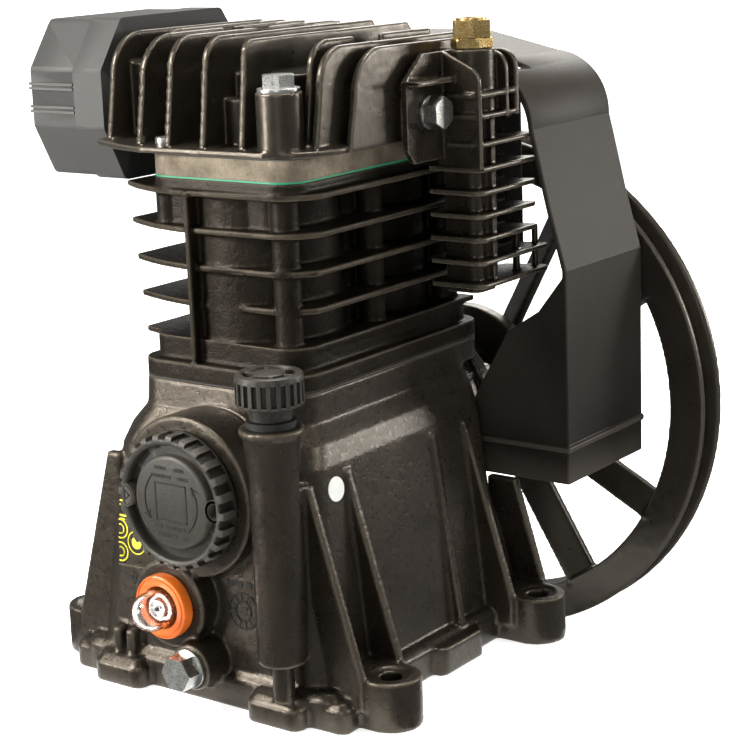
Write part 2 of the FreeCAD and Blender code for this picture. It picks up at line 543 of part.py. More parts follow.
def outlet_body():
    """Brass fitting screwed into the cooler, with a hexagon collar."""
    x, y, z = OUTLET_PORT_X, OUTLET_PORT_Y, OUTLET_PORT_Z
    body = fuse([cyl_z(6.5, x, y, z - 12, z), hexagon(17, 4.5, (x, y, z), (0, 0, 1), turn=20),
                 cyl_z(6.0, x, y, z, z + 9)])
    return body.cut(cyl_z(4.0, x, y, z - 13, z + 20))


def outlet_nut():
    """Tube nut on the fitting."""
    x, y, z = OUTLET_PORT_X, OUTLET_PORT_Y, OUTLET_PORT_Z + 4.7
    nut = fuse([hexagon(16, 7.5, (x, y, z), (0, 0, 1), turn=8), cyl_z(6.8, x, y, z, z + 8.5)])
    return nut.cut(fuse([cyl_z(6.0, x, y, z - 1, z + 4.4), cyl_z(5.0, x, y, z, z + 12)]))


COOLER_BOLT_Y, COOLER_BOLT_Z = (19.0, 72.0), 250.5


def cooler_bolts():
    """Hexagon bolts and washers that hold the cooler's flange to the head."""
    x = COOLER_X0 + 3
    washers = [cyl_x(7.5, x, x + 1.6, y, COOLER_BOLT_Z).cut(cyl_x(4.3, x - 1, x + 3, y, COOLER_BOLT_Z))
               for y in COOLER_BOLT_Y]
    bolts = [fuse([hexagon(M8_HEAD_AF, 7.0, (x + 1.6, y, COOLER_BOLT_Z), (1, 0, 0)),
                   cyl_x(4.0, 47, x + 2, y, COOLER_BOLT_Z)]) for y in COOLER_BOLT_Y]
    return bolts, washers


# ---------------------------------------------------------------- intake filter
FILTER_Y0, FILTER_Y1 = -38.0, 62.0
FILTER_Z = (220.5, 244.5, 271.0, 293.0)      # bottom, lower bend, upper bend, top
FILTER_X = (-126.0, -98.0, -80.0)            # outer end, seam, flange to the head
FILTER_SLOPE = (12.0, 15.5)                  # how far the bottom and top bends stand back


def filter_profile(x, grow=0.0):
    z0, z1, z2, z3 = FILTER_Z
    low, high = FILTER_SLOPE
    y0, y1, g = FILTER_Y0 - grow, FILTER_Y1 + grow, grow
    return [(x, y0, z1), (x, y0 + low, z0 - g), (x, y1 - low, z0 - g), (x, y1, z1), (x, y1, z2),
            (x, y1 - high, z3 + g), (x, y0 + high, z3 + g), (x, y0, z2)]


def filter_shell(x0, x1, grow, wall):
    outer = prism(filter_profile(x0, grow), (x1 - x0, 0, 0))
    edges = [e for e in outer.Edges if abs(e.BoundBox.XMax - e.BoundBox.XMin) > 1]
    return outer.makeFillet(4.0, edges), prism(filter_profile(x0, grow - wall), (x1 - x0, 0, 0))


def filter_body():
    """Back half of the filter box: open to the left, with the spigot into the head."""
    outer, inner = filter_shell(FILTER_X[1], FILTER_X[2], 0.8, 4.4)
    hollow = inner.common(box(FILTER_X[1] - 1, FILTER_X[2] - 3, -100, 100, 200, 300))
    rim = prism(filter_profile(FILTER_X[1] - 4, -2.6), (6, 0, 0))
    rim = rim.cut(prism(filter_profile(FILTER_X[1] - 5, -4.4), (9, 0, 0)))
    spigot = cyl_x(12.9, -84, -66, 15, 256)
    body = fuse([outer.cut(hollow), rim, spigot])
    tools = [cyl_x(10.5, -90, -60, 15, 256)]
    tools += [cyl_x(3.0, -90, -75, y, 256) for y in FILTER_SCREW_Y]
    return cut(body, tools)


FILTER_SCREW_Y = (-14.0, 44.0)


def filter_cover():
    """Outer half of the filter box: a cup with two stiffening ribs and inlet slots at the back."""
    outer, inner = filter_shell(FILTER_X[0], FILTER_X[1] - 0.4, 0.0, 2.2)
    hollow = inner.common(box(FILTER_X[0] + 2.6, FILTER_X[1], -100, 100, 200, 300))
    ribs = []
    for z in (252.4, 263.0):
        for low in (z - 1.7, z + 0.5):
            x, y = FILTER_X[0] - 0.9, FILTER_Y0 - 0.9
            ribs.append(box(x, FILTER_X[1] - 0.6, y, FILTER_Y0 + 3, low, low + 1.2))
            ribs.append(box(x, FILTER_X[0] + 3, y, FILTER_Y1, low, low + 1.2))
    cover = fuse([outer] + ribs).cut(hollow)
    slots = [box(-121 + 7 * i, -118 + 7 * i, FILTER_Y1 - 5, FILTER_Y1 + 2, 249, 267) for i in range(3)]
    slots += [box(-128, -120, y, y + 4, 226, 238) for y in range(-16, 40, 9)]
    return cut(cover, slots)


def filter_element():
    """Pleated paper ring between two end caps, as one annular block."""
    block = slab(-31, 31, -24, 24, 10, 0, 20).cut(slab(-19, 19, -12, 12, 6, -1, 21))
    block.Placement = FreeCAD.Placement(V(-120.5, 12, 257), FreeCAD.Rotation(V(0, 0, 1), V(1, 0, 0)))
    return block


def filter_screws():
    screws = []
    for y in FILTER_SCREW_Y:
        head = cyl_x(5.5, -86.2, -83, y, 256).cut(hexagon(5, 2.5, (-86.3, y, 256), (1, 0, 0)))
        screws.append(fuse([head, cyl_x(3.0, -83.5, -74, y, 256)]))
    return screws


# ---------------------------------------------------------------- air shroud
SHROUD_Y0, SHROUD_Y1, SHROUD_T = 69.0, 139.5, 2.5


def shroud_section(y, shrink=0.0):
    """Half arch in the plane of constant y: straight right wall, curved shoulder, level top."""
    s = shrink
    right = [V(98.5 - s, y, 73), V(98.5 - s, y, 174), V(91 - s, y, 201), V(82 - s, y, 238)]
    bend = Part.Arc(V(82 - s, y, 238), V(74 - s, y, 258.5 - s), V(55, y, 267.5 - s)).toShape()
    top = [V(55, y, 267.5 - s), V(14, y, 277 - s), V(-58, y, 277 - s)]
    return right, bend, top


def shroud_solid(y0, y1, shrink, bottom):
    right, bend, top = shroud_section(y0, shrink)
    corner = V(-58, y0, bottom)
    right[0] = V(right[0].x, y0, bottom)
    edges = [Part.makeLine(a, b) for a, b in zip(right[:-1], right[1:])]
    edges += [bend] + [Part.makeLine(a, b) for a, b in zip(top[:-1], top[1:])]
    edges += [Part.makeLine(top[-1], corner), Part.makeLine(corner, right[0])]
    return Part.Face(Part.Wire(edges)).extrude(V(0, y1 - y0, 0))


def air_shroud():
    """Duct that takes the flywheel's air and turns it forward on to the fins.

    It is open to the flywheel and, above its slanted front panel, open to the front.
    """
    outer = shroud_solid(SHROUD_Y0, SHROUD_Y1, 0.0, 73)
    inner = shroud_solid(SHROUD_Y0 - 1, SHROUD_Y1 + 1, SHROUD_T, 60)
    skin = outer.cut(inner)
    skin = skin.cut(box(-70, SHROUD_LEFT, 60, 150, 60, 272))
    skin = skin.cut(box(-70, 78, 60, 92, 263, 300))
    t = SHROUD_T
    front = prism(((44.5, SHROUD_Y0, 73), (97, SHROUD_Y0, 73), (97, SHROUD_Y0, 172), (83, SHROUD_Y0, 154),
                   (66, SHROUD_Y0, 143), (50, SHROUD_Y0, 115), (44.5, SHROUD_Y0, 105)), (0, t, 0))
    floor = box(44.5, 97, SHROUD_Y0, SHROUD_Y1, 73, 73 + t)
    ribs = [box(44.5, 99.7, SHROUD_Y0 - 1.2, SHROUD_Y0 + 0.5, 88.3, 91.3),
            box(97, 99.7, SHROUD_Y0 - 1.2, SHROUD_Y1, 88.3, 91.3)]
    bridge = box(-22, 14, SHROUD_TAB_Y, 93, 277 - t, 277)
    tab = box(-22, 14, SHROUD_TAB_Y, SHROUD_TAB_Y + t, 250, 277)
    shroud = fuse([skin, front, floor, bridge, tab] + ribs)
    return cut(shroud, [cyl_y(2.7, 70, 90, x, SHROUD_SCREW_Z) for x in SHROUD_SCREW_X])


SHROUD_LEFT = -60.0
SHROUD_SCREW_X, SHROUD_SCREW_Z, SHROUD_TAB_Y = (-14.0, 6.0), 258.0, 76.3


def shroud_screws():
    screws = []
    for x in SHROUD_SCREW_X:
        y = SHROUD_TAB_Y + SHROUD_T
        screws.append(fuse([cyl_y(6.0, y, y + 1.2, x, SHROUD_SCREW_Z),
                            cyl_y(2.5, 68, y + 1, x, SHROUD_SCREW_Z),
                            hexagon(8, 3.5, (x, y + 1.2, SHROUD_SCREW_Z), (0, 1, 0))]))
    return screws


# ---------------------------------------------------------------- flywheel
SPOKE_ANGLES = tuple(90 * i + side * 15.5 - 43.5 for i in range(4) for side in (-1, 1))
HUB_R, HUB_DISC_R, HUB_Y0, HUB_Y1 = 23.0, 44.0, 124.0, 160.0


def flywheel():
    """Spoked wheel with one V groove; its spokes are slanted blades that move the cooling air."""
    half = (WHEEL_Y0 + WHEEL_Y1) / 2
    rim = ring_y(WHEEL_RIM_IN, WHEEL_R, WHEEL_Y0, WHEEL_Y1)
    groove_pts = ((WHEEL_R - 12, half - 3.2, 0), (WHEEL_R + 1, half - 6.9, 0), (WHEEL_R + 1, half + 6.9, 0),
                  (WHEEL_R - 12, half + 3.2, 0))
    profile = Part.Face(Part.makePolygon([V(*p) for p in groove_pts + groove_pts[:1]]))
    profile.translate(V(0, 0, CRANK_Z))
    groove = profile.revolve(V(0, 0, CRANK_Z), V(0, 1, 0), 360)
    hub = fuse([cyl_y(HUB_R, HUB_Y0, HUB_Y1), cyl_y(HUB_DISC_R, 130, 138)])
    solids = [rim, hub]
    for angle in SPOKE_ANGLES:
        blade = prism(((20, 141, -5), (20, 147, -7), (20, 157, 5), (20, 151, 7)), (WHEEL_RIM_IN - 18, 0, 0))
        blade.rotate(V(0, 0, 0), V(0, 1, 0), -angle)
        blade.translate(V(0, 0, CRANK_Z))
        solids.append(blade)
    wheel = fuse(solids)
    return cut(wheel, [groove, cyl_y(12.5 + RUN, 110, 170)])


def flywheel_bolt():
    bolt = fuse([hexagon(16, 6.5, (0, 163, CRANK_Z), (0, 1, 0)), cyl_y(4.25, 136, 164)])
    washer = ring_y(5.2, 17, 160, 163)
    return bolt, washer


# ---------------------------------------------------------------- front cap, filler cap, glass, drain
CAP_R, CAP_Y0, CAP_Y1 = 30.0, -97.4, -87.4


def breather_cap():
    """Round quarter-turn cap: knurled rim, dished face with two finger lugs, neck with two ears."""
    rim = cyl_y(CAP_R, CAP_Y0, CAP_Y1)
    dish = cyl_y(CAP_R - 4.5, CAP_Y0 - 1, CAP_Y0 + 4)
    cap = rim.cut(dish)
    cap = fuse([cap, cyl_y(CAP_R - 10, CAP_Y0 + 1.5, CAP_Y0 + 5),
                cyl_y(21.6, CAP_Y1 - 1, -76.0),
                box(-CAP_R + 3.2, -CAP_R + 10.5, CAP_Y0, CAP_Y0 + 5, CRANK_Z - 5, CRANK_Z + 5),
                box(CAP_R - 10.5, CAP_R - 3.2, CAP_Y0, CAP_Y0 + 5, CRANK_Z - 5, CRANK_Z + 5)])
    notches = []
    for i in range(24):
        a = math.radians(15 * i + 7.5)
        notches.append(cyl_y(1.3, CAP_Y0 + 1.6, CAP_Y1 - 1.6, (CAP_R + 0.3) * math.cos(a),
                             CRANK_Z + (CAP_R + 0.3) * math.sin(a)))
    hollow = cyl_y(18.5, CAP_Y1 - 2.5, -75)
    groove = ring_y(19.6, 23, -83.2, -80.2)
    return cut(cap, notches + [hollow, groove])


def cap_seal():
    return ring_y(19.8, 21.95, -83.0, -80.4)


def filler_cap():
    """Ribbed oil filler cap with its plug, dipstick and dipstick blade."""
    x, y = FILLER_X, FILLER_Y
    head = cyl_z(13.5, x, y, 142.5, 156)
    ribs = []
    for i in range(22):
        a = math.radians(360 / 22 * i)
        ribs.append(cyl_z(1.1, x + 13.5 * math.cos(a), y + 13.5 * math.sin(a), 142.5, 152))
    head = fuse([head.cut(fuse([cyl_z(11.0, x, y, 153.2, 160)]))] + ribs)
    spokes = [box(x - 11.5, x + 11.5, y - 1, y + 1, 152.5, 155.5),
              box(x - 1, x + 1, y - 11.5, y + 11.5, 152.5, 155.5)]
    head = fuse([head] + spokes + [cyl_z(7.0, x, y, 152.5, 155.8)])
    neck = fuse([cyl_z(9.0, x, y, 136.2, 143), cyl_z(6.2, x, y, 112, 137), cyl_z(1.8, x, y, 50, 113),
                 box(x - 1, x + 1, y - 3, y + 3, 46, 62)])
    return fuse([head, neck])


def filler_cap_seal():
    return ring_z(6.5, 10.5, FILLER_X, FILLER_Y, 133.2, 136.0)


LENS_R, LENS_Y = 8.8, -100.0         # dome of the sight glass


def sight_glass():
    ring = ring_y(9.6, 14.5, -94.5, -89.0, SIGHT_X, SIGHT_Z)
    ring = fuse([ring, ring_y(9.6, 13.2, -89.5, -84, SIGHT_X, SIGHT_Z)])
    ball = fuse([Part.makeSphere(LENS_R, V(SIGHT_X, LENS_Y, SIGHT_Z)),
                 cyl_y(LENS_R, LENS_Y, -86.5, SIGHT_X, SIGHT_Z)])
    disc = cyl_y(9.5, -87, -84, SIGHT_X, SIGHT_Z)
    backing = cyl_y(9.4, -82.5, -81.5, SIGHT_X, SIGHT_Z)
    return ring, fuse([ball, disc]), backing


def drain_plug():
    washer = ring_y(5.2, 8.8, -96.6, -95.0, DRAIN_X, DRAIN_Z)
    plug = fuse([hexagon(14, 8.0, (DRAIN_X, -96.6, DRAIN_Z), (0, -1, 0)),
                 cyl_y(5.0, -97, -80, DRAIN_X, DRAIN_Z)])
    return plug, washer


# ---------------------------------------------------------------- assembly
def build_rods_and_pistons():
    for index in range(2):
        n = index + 1
        frame = rod_frame(index)
        add(f"connecting_rod_{n}", placed(rod_upper(), frame))
        add(f"rod_cap_{n}", placed(rod_cap(), frame))
        add(f"rod_bolts_{n}", [placed(b, frame) for b in rod_bolts()])
        add(f"rod_bearing_{n}", placed(shell(), frame))
        add(f"piston_{n}", piston(index))
        add(f"piston_rings_{n}", piston_rings(index))
        add(f"piston_pin_{n}", ring_y(3.2, PISTON_PIN_R, CYL_Y[index] - 22, CYL_Y[index] + 22, 0, PIN_Z))


def build():
    add("crankcase", crankcase())
    add("rear_cover", rear_cover())
    add("rear_cover_gasket", cut(ring_y(36.5, 43, 84, 84.5).common(box(-60, 60, 80, 90, 0, JOINT_Z - 1)),
                                 [cyl_y(2.7, 80, 90, x, z) for x, z in rear_screws()]))
    add("rear_cover_screws", [fuse([hexagon(8, 4, (x, 92, z), (0, 1, 0)), cyl_y(2.1, 74, 93, x, z)])
                              for x, z in rear_screws()])
    front_outer, front_inner = bearing(*FRONT_BEARING_Y)
    rear_outer, rear_inner = bearing(*REAR_BEARING_Y)
    add("front_bearing_outer", front_outer)
    add("rear_bearing_outer", rear_outer)
    add("bearing_inner_rings", [front_inner, rear_inner])
    add("shaft_seal", ring_y(JOURNAL_R + RUN, 20, 100.5, 106.5))
    add("crankshaft", crankshaft())
    build_rods_and_pistons()
    add("base_gasket", base_gasket())
    add("cylinder_block", cylinder_block())
    add("head_gasket_lower",
        gasket(BLOCK_TOP, PLATE_Z0, [cyl_z(BORE_R + 0.5, 0, y, 200, 240) for y in CYL_Y]))
    add("valve_plate", valve_plate())
    add("inlet_reeds", [reed(INLET_X, y, PLATE_Z0 + 0.75, PLATE_Z0 + 1.2) for y in CYL_Y])
    add("outlet_reeds", [reed(OUTLET_X, y, PLATE_Z1 - 3.4, PLATE_Z1 - 3.0) for y in CYL_Y])
    add("outlet_reed_stops", [reed_stop(y) for y in CYL_Y])
    add("head_gasket_upper", gasket(PLATE_Z1, HEAD_Z0, [box(-30, -3, -30, 64, 230, 250),
                                                        box(3, 26, -30, 64, 230, 250)]))
    add("cylinder_head", cylinder_head())
    bolts, washers = head_bolts()
    add("head_bolts", bolts)
    add("head_bolt_washers", washers)
    add("head_corner_screw", corner_screw())
    add("discharge_cooler", discharge_cooler())
    add("outlet_fitting", outlet_body())
    add("outlet_nut", outlet_nut())
    bolts, washers = cooler_bolts()
    add("cooler_bolts", bolts)
    add("cooler_bolt_washers", washers)
    add("filter_body", filter_body())
    add("filter_cover", filter_cover())
    add("filter_element", filter_element())
    add("filter_screws", filter_screws())
    add("air_shroud", air_shroud())
    add("shroud_screws", shroud_screws())
    add("flywheel", flywheel())
    bolt, washer = flywheel_bolt()
    add("flywheel_bolt", bolt)
    add("flywheel_washer", washer)
    add("breather_cap", breather_cap())
    add("breather_cap_seal", cap_seal())
    add("filler_cap", filler_cap())
    add("filler_cap_seal", filler_cap_seal())
    ring, lens, backing = sight_glass()
    add("sight_glass_ring", ring)
    add("sight_glass_lens", lens)
    add("sight_glass_backing", backing)
    plug, washer = drain_plug()
    add("drain_plug", plug)
    add("drain_washer", washer)


build()
os.makedirs("parts", exist_ok=True)
for node_name, node_shape in NODES.items():
    node_shape.exportStep(f"parts/{node_name}.step")
    solid_count = len(node_shape.Solids)
    print(f"{node_name:24s} solids {solid_count:2d} valid {node_shape.isValid()} "
          f"volume {node_shape.Volume:10.0f}")
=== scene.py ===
import bmesh
import bpy
import json
import math
from mathutils import Matrix, Vector


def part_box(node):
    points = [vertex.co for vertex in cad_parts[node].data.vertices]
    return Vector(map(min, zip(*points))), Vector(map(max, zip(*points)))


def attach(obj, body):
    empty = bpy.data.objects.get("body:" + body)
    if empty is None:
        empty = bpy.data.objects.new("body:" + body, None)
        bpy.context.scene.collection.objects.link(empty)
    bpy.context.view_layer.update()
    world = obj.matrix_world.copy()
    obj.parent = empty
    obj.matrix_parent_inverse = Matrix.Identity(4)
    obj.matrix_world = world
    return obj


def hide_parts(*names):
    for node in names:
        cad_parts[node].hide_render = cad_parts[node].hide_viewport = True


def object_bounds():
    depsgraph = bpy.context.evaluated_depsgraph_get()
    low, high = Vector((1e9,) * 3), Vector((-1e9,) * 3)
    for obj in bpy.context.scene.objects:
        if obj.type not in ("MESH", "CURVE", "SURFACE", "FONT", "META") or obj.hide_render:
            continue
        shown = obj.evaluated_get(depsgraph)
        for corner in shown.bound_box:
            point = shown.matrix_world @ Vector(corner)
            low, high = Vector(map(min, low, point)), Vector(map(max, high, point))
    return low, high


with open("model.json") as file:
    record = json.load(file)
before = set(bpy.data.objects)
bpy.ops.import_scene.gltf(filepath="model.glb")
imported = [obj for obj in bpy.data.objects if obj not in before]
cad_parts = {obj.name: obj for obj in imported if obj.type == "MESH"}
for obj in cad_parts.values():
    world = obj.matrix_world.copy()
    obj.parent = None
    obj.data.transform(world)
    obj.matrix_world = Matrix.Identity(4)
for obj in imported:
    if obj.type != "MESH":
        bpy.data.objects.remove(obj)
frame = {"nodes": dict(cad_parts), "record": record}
cad_low, cad_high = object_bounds()
MM = 0.001
TAU = 2 * math.pi

# ------------------------------------------------------------------ node materials
def new_material(name):
    mat = bpy.data.materials.new(name)
    mat.use_nodes = True
    tree = mat.node_tree
    return mat, tree, tree.nodes["Principled BSDF"]


def add_node(tree, kind, **values):
    node = tree.nodes.new(kind)
    for key, value in values.items():
        if key in node.inputs:
            node.inputs[key].default_value = value
        else:
            setattr(node, key, value)
    return node


def noise(tree, scale, detail=3.0, rough=0.55):
    """Procedural noise in object space, scale in cells per metre."""
    coords = add_node(tree, "ShaderNodeTexCoord")
    tex = add_node(tree, "ShaderNodeTexNoise", Scale=scale, Detail=detail, Roughness=rough)
    tree.links.new(coords.outputs["Object"], tex.inputs["Vector"])
    return tex.outputs["Fac"]


def ramp(tree, source, stops):
    """stops: (position, grey or colour) for each end of the ramp."""
    node = add_node(tree, "ShaderNodeValToRGB")
    ends = node.color_ramp.elements
    while len(ends) < len(stops):
        ends.new(0.5)
    for element, (pos, value) in zip(ends, stops):
        element.position = pos
        element.color = (*value, 1.0) if isinstance(value, tuple) else (value, value, value, 1.0)
    tree.links.new(source, node.inputs["Fac"])
    return node.outputs["Color"]


def mix(tree, fac, a, b):
    """Blend of two colours; fac is a socket, a and b are sockets or colours."""
    node = add_node(tree, "ShaderNodeMix", data_type="RGBA")
    for socket, value in ((node.inputs[0], fac), (node.inputs[6], a), (node.inputs[7], b)):
        if hasattr(value, "node"):
            tree.links.new(value, socket)
        else:
            socket.default_value = (*value, 1.0)
    return node.outputs[2]


def wear_and_highlight_edges(tree):
    """White on convex edges, black elsewhere; the mask for lighter edges, partly wear and partly a painted
    highlight.
    """
    geometry = add_node(tree, "ShaderNodeNewGeometry")
    return ramp(tree, geometry.outputs["Pointiness"], ((0.515, 0.0), (0.56, 1.0)))


def bumps(tree, bsdf, layers):
    """layers: (height socket, distance in metres), chained into the shader's normal."""
    last = None
    for height, distance in layers:
        node = add_node(tree, "ShaderNodeBump", Strength=1.0, Distance=distance)
        tree.links.new(height, node.inputs["Height"])
        if last:
            tree.links.new(last.outputs["Normal"], node.inputs["Normal"])
        last = node
    tree.links.new(last.outputs["Normal"], bsdf.inputs["Normal"])


def paint(name, dark, light, edge, rough, grain, coarse, fine, coat,
          coarse_scale=420.0, fine_scale=1700.0, level=0.5):
    """Black paint over a casting: two sizes of bump, uneven gloss, lighter edges that are partly worn paint
    and partly a painted highlight.
    """
    mat, tree, bsdf = new_material(name)
    big, small = noise(tree, coarse_scale, 4.0), noise(tree, fine_scale, 2.0)
    blotch = noise(tree, 60.0, 4.0, 0.6)
    base = ramp(tree, blotch, ((0.35, dark), (0.7, light)))
    base = mix(tree, ramp(tree, small, ((0.45, 0.0), (0.75, grain))), base, edge)
    # painted highlight and wear: convex edges lightened towards the edge colour
    base = mix(tree, wear_and_highlight_edges(tree), base, edge)
    tree.links.new(base, bsdf.inputs["Base Color"])
    bsdf.inputs["Specular Tint"].default_value = (1.0, 0.86, 0.69, 1.0)
    bsdf.inputs["Specular IOR Level"].default_value = level
    tree.links.new(ramp(tree, big, ((0.3, rough - 0.08), (0.7, rough + 0.1))), bsdf.inputs["Roughness"])
    bsdf.inputs["Coat Weight"].default_value = coat
    bsdf.inputs["Coat Roughness"].default_value = 0.22
    bumps(tree, bsdf, ((big, coarse), (small, fine)))
    return mat


def metal(name, dark, light, rough, scale=240.0):
    """Bare or plated metal with cloudy tone, uneven roughness and fine tool marks."""
    mat, tree, bsdf = new_material(name)
    cloud, marks = noise(tree, scale, 5.0, 0.6), noise(tree, scale * 7, 2.0, 0.5)
    tree.links.new(ramp(tree, cloud, ((0.3, dark), (0.68, light))), bsdf.inputs["Base Color"])
    tree.links.new(ramp(tree, marks, ((0.3, rough - 0.07), (0.7, rough + 0.1))), bsdf.inputs["Roughness"])
    bsdf.inputs["Metallic"].default_value = 1.0
    bumps(tree, bsdf, ((marks, 0.00002),))
    return mat


def plastic(name, dark, light, rough, grain_scale, depth, edge=None, coat=0.0, level=0.5):
    """Moulded plastic with a fine spark-eroded grain."""
    mat, tree, bsdf = new_material(name)
    grain, cloud = noise(tree, grain_scale, 2.0, 0.6), noise(tree, 35.0, 3.0)
    base = ramp(tree, cloud, ((0.35, dark), (0.7, light)))
    base = mix(tree, ramp(tree, grain, ((0.5, 0.0), (0.72, 0.35))), base, edge or light)
    # painted highlight and wear: convex edges lightened towards the edge colour
    if edge:
        base = mix(tree, wear_and_highlight_edges(tree), base, edge)
    tree.links.new(base, bsdf.inputs["Base Color"])
    tree.links.new(ramp(tree, grain, ((0.3, rough - 0.06), (0.7, rough + 0.08))), bsdf.inputs["Roughness"])
    bsdf.inputs["Coat Weight"].default_value = coat
    bsdf.inputs["Specular IOR Level"].default_value = level
    bumps(tree, bsdf, ((grain, depth),))
    return mat


def valve_plate_material():
    """Bare aluminium edge: tan grey, cloudy, with a faint dark speckle."""
    mat, tree, bsdf = new_material("bare_aluminium")
    speck, streak = noise(tree, 900.0, 3.0, 0.65), noise(tree, 90.0, 4.0, 0.6)
    base = ramp(tree, streak, ((0.3, (0.115, 0.093, 0.066)), (0.7, (0.24, 0.205, 0.155))))
    base = mix(tree, ramp(tree, speck, ((0.55, 0.0), (0.75, 0.4))), base, (0.07, 0.056, 0.040))
    tree.links.new(base, bsdf.inputs["Base Color"])
    tree.links.new(ramp(tree, speck, ((0.3, 0.5), (0.7, 0.75))), bsdf.inputs["Roughness"])
    bsdf.inputs["Metallic"].default_value = 0.55
    bumps(tree, bsdf, ((speck, 0.00002), (streak, 0.00004)))
    return mat


def glass_material():
    """Clear moulded lens with a faint haze."""
    mat, tree, bsdf = new_material("clear_lens")
    haze = noise(tree, 300.0, 3.0)
    tree.links.new(ramp(tree, haze, ((0.3, (0.93, 0.90, 0.88)), (0.7, (1.0, 0.97, 0.95)))),
                   bsdf.inputs["Base Color"])
    tree.links.new(ramp(tree, haze, ((0.35, 0.02), (0.75, 0.07))), bsdf.inputs["Roughness"])
    bsdf.inputs["Transmission Weight"].default_value = 1.0
    bsdf.inputs["IOR"].default_value = 1.45
    return mat


def flat_print(name, color, rough):
    """Printed or die-cut label stock with faint mottling."""
    mat, tree, bsdf = new_material(name)
    mottle = noise(tree, 900.0, 3.0)
    low = tuple(c * 0.86 for c in color)
    tree.links.new(ramp(tree, mottle, ((0.3, low), (0.7, color))), bsdf.inputs["Base Color"])
    tree.links.new(ramp(tree, mottle, ((0.3, rough - 0.05), (0.7, rough + 0.1))), bsdf.inputs["Roughness"])
    bumps(tree, bsdf, ((mottle, 0.00001),))
    return mat


# In paint() and plastic() the edge colour lightens the grain and the convex edges; on the edges it is partly
# wear and partly a painted highlight.
M = {
    "case_black": paint("case_black", (0.0060, 0.0048, 0.0035), (0.0130, 0.0106, 0.0080),
                        (0.080, 0.068, 0.051), 0.32, 0.12, 0.00020, 0.00010, 0.12, level=0.6),
    # painted shade: the block's paint is darker than the other castings, for the shade between its fins
    "block_black": paint("block_black", (0.0030, 0.0022, 0.0015), (0.0090, 0.0070, 0.0050),
                         (0.075, 0.062, 0.046), 0.44, 0.10, 0.00042, 0.00018, 0.05, 330.0, 1300.0, level=0.2),
    "head_black": paint("head_black", (0.0062, 0.0048, 0.0036), (0.0110, 0.0088, 0.0066),
                        (0.080, 0.070, 0.055), 0.33, 0.10, 0.00007, 0.00004, 0.15, 200.0, 1500.0, level=0.7),
    "cooler_black": paint("cooler_black", (0.0058, 0.0044, 0.0033), (0.0105, 0.0084, 0.0064),
                          (0.09, 0.078, 0.060), 0.30, 0.12, 0.00008, 0.00005, 0.15, 260.0, 1500.0),
    "wheel_black": paint("wheel_black", (0.0070, 0.0060, 0.0050), (0.0120, 0.0104, 0.0088),
                         (0.065, 0.057, 0.047), 0.34, 0.10, 0.00008, 0.00004, 0.2, 240.0, 1500.0),
    "filter_plastic": plastic("filter_plastic", (0.015, 0.0153, 0.0155), (0.023, 0.0234, 0.0236),
                              0.46, 1900.0, 0.00012, (0.075, 0.074, 0.072), level=0.35),
    "shroud_plastic": plastic("shroud_plastic", (0.0074, 0.0061, 0.0051), (0.0115, 0.0097, 0.0082),
                              0.44, 1500.0, 0.00016, (0.040, 0.034, 0.028), level=0.2),
    "cap_plastic": plastic("cap_plastic", (0.0120, 0.0106, 0.0086), (0.0190, 0.0168, 0.0136),
                           0.42, 1700.0, 0.00012, (0.070, 0.064, 0.053)),
    # painted shade: a darker matte black for the shade in cast and moulded lines, in the notch floor and at
    # the reflector's centre
    "painted_shade_black": plastic("painted_shade_black", (0.006, 0.0056, 0.0050), (0.010, 0.0094, 0.0084), 0.6, 1700.0,
                          0.00004),
    "bare_aluminium": valve_plate_material(),
    "piston_aluminium": metal("piston_aluminium", (0.55, 0.55, 0.55), (0.75, 0.75, 0.74), 0.32),
    "zinc_steel": metal("zinc_steel", (0.48, 0.49, 0.48), (0.76, 0.77, 0.75), 0.30, 260.0),
    "bright_steel": metal("bright_steel", (0.50, 0.50, 0.50), (0.70, 0.70, 0.70), 0.22),
    "forged_iron": metal("forged_iron", (0.16, 0.155, 0.15), (0.30, 0.29, 0.28), 0.42),
    "brass": metal("brass", (0.42, 0.28, 0.09), (0.78, 0.58, 0.27), 0.28, 300.0),
    "green_gasket": flat_print("green_gasket", (0.008, 0.22, 0.11), 0.4),
    "grey_gasket": flat_print("grey_gasket", (0.05, 0.05, 0.045), 0.6),
    "black_rubber": plastic("black_rubber", (0.008, 0.008, 0.008), (0.014, 0.014, 0.013), 0.6, 1200.0,
                            0.00004),
    "orange_plastic": plastic("orange_plastic", (0.58, 0.110, 0.010), (0.74, 0.165, 0.016), 0.34, 700.0,
                              0.00004, coat=0.4),
    "clear_lens": glass_material(),
    "paper": flat_print("paper", (0.62, 0.50, 0.30), 0.8),
    "white_label": flat_print("white_label", (0.68, 0.69, 0.68), 0.5),
    "yellow_label": flat_print("yellow_label", (0.78, 0.74, 0.02), 0.5),
}

# ------------------------------------------------------------------ CAD nodes
FINISH = {row["node"]: row["material_slot"] for row in frame["record"]["subparts"]}
FINISH["cylinder_block"] = "block_black"          # rougher sand than the other castings, and darker: painted shade between the fins
# voxel size in mm and smoothing passes, which give each casting its rounded edges and fillets
CAST = {"crankcase": (0.9, 6), "cylinder_block": (0.75, 3), "cylinder_head": (0.75, 3),
        "flywheel": (0.9, 4), "rear_cover": (0.9, 3)}
# edge radius in mm of turned, moulded and pressed parts
BEVEL = {"filter_body": 0.5, "filter_cover": 0.5, "air_shroud": 0.9, "valve_plate": 0.25, "drain_plug": 0.4,
         "head_bolts": 0.35, "head_bolt_washers": 0.2, "cooler_bolts": 0.4, "cooler_bolt_washers": 0.2,
         "outlet_nut": 0.3, "outlet_fitting": 0.35, "flywheel_bolt": 0.4, "flywheel_washer": 0.3,
         "shroud_screws": 0.25, "head_corner_screw": 0.3, "drain_washer": 0.2, "rear_cover_screws": 0.25}
CAST_RIPPLE = 0.12                                # height in mm of the unevenness of a casting
SHARP_ANGLE = math.radians(38)                    # edges sharper than this stay crisp when shaded


def use_material(obj, mat):
    obj.data.materials.clear()
    obj.data.materials.append(mat)


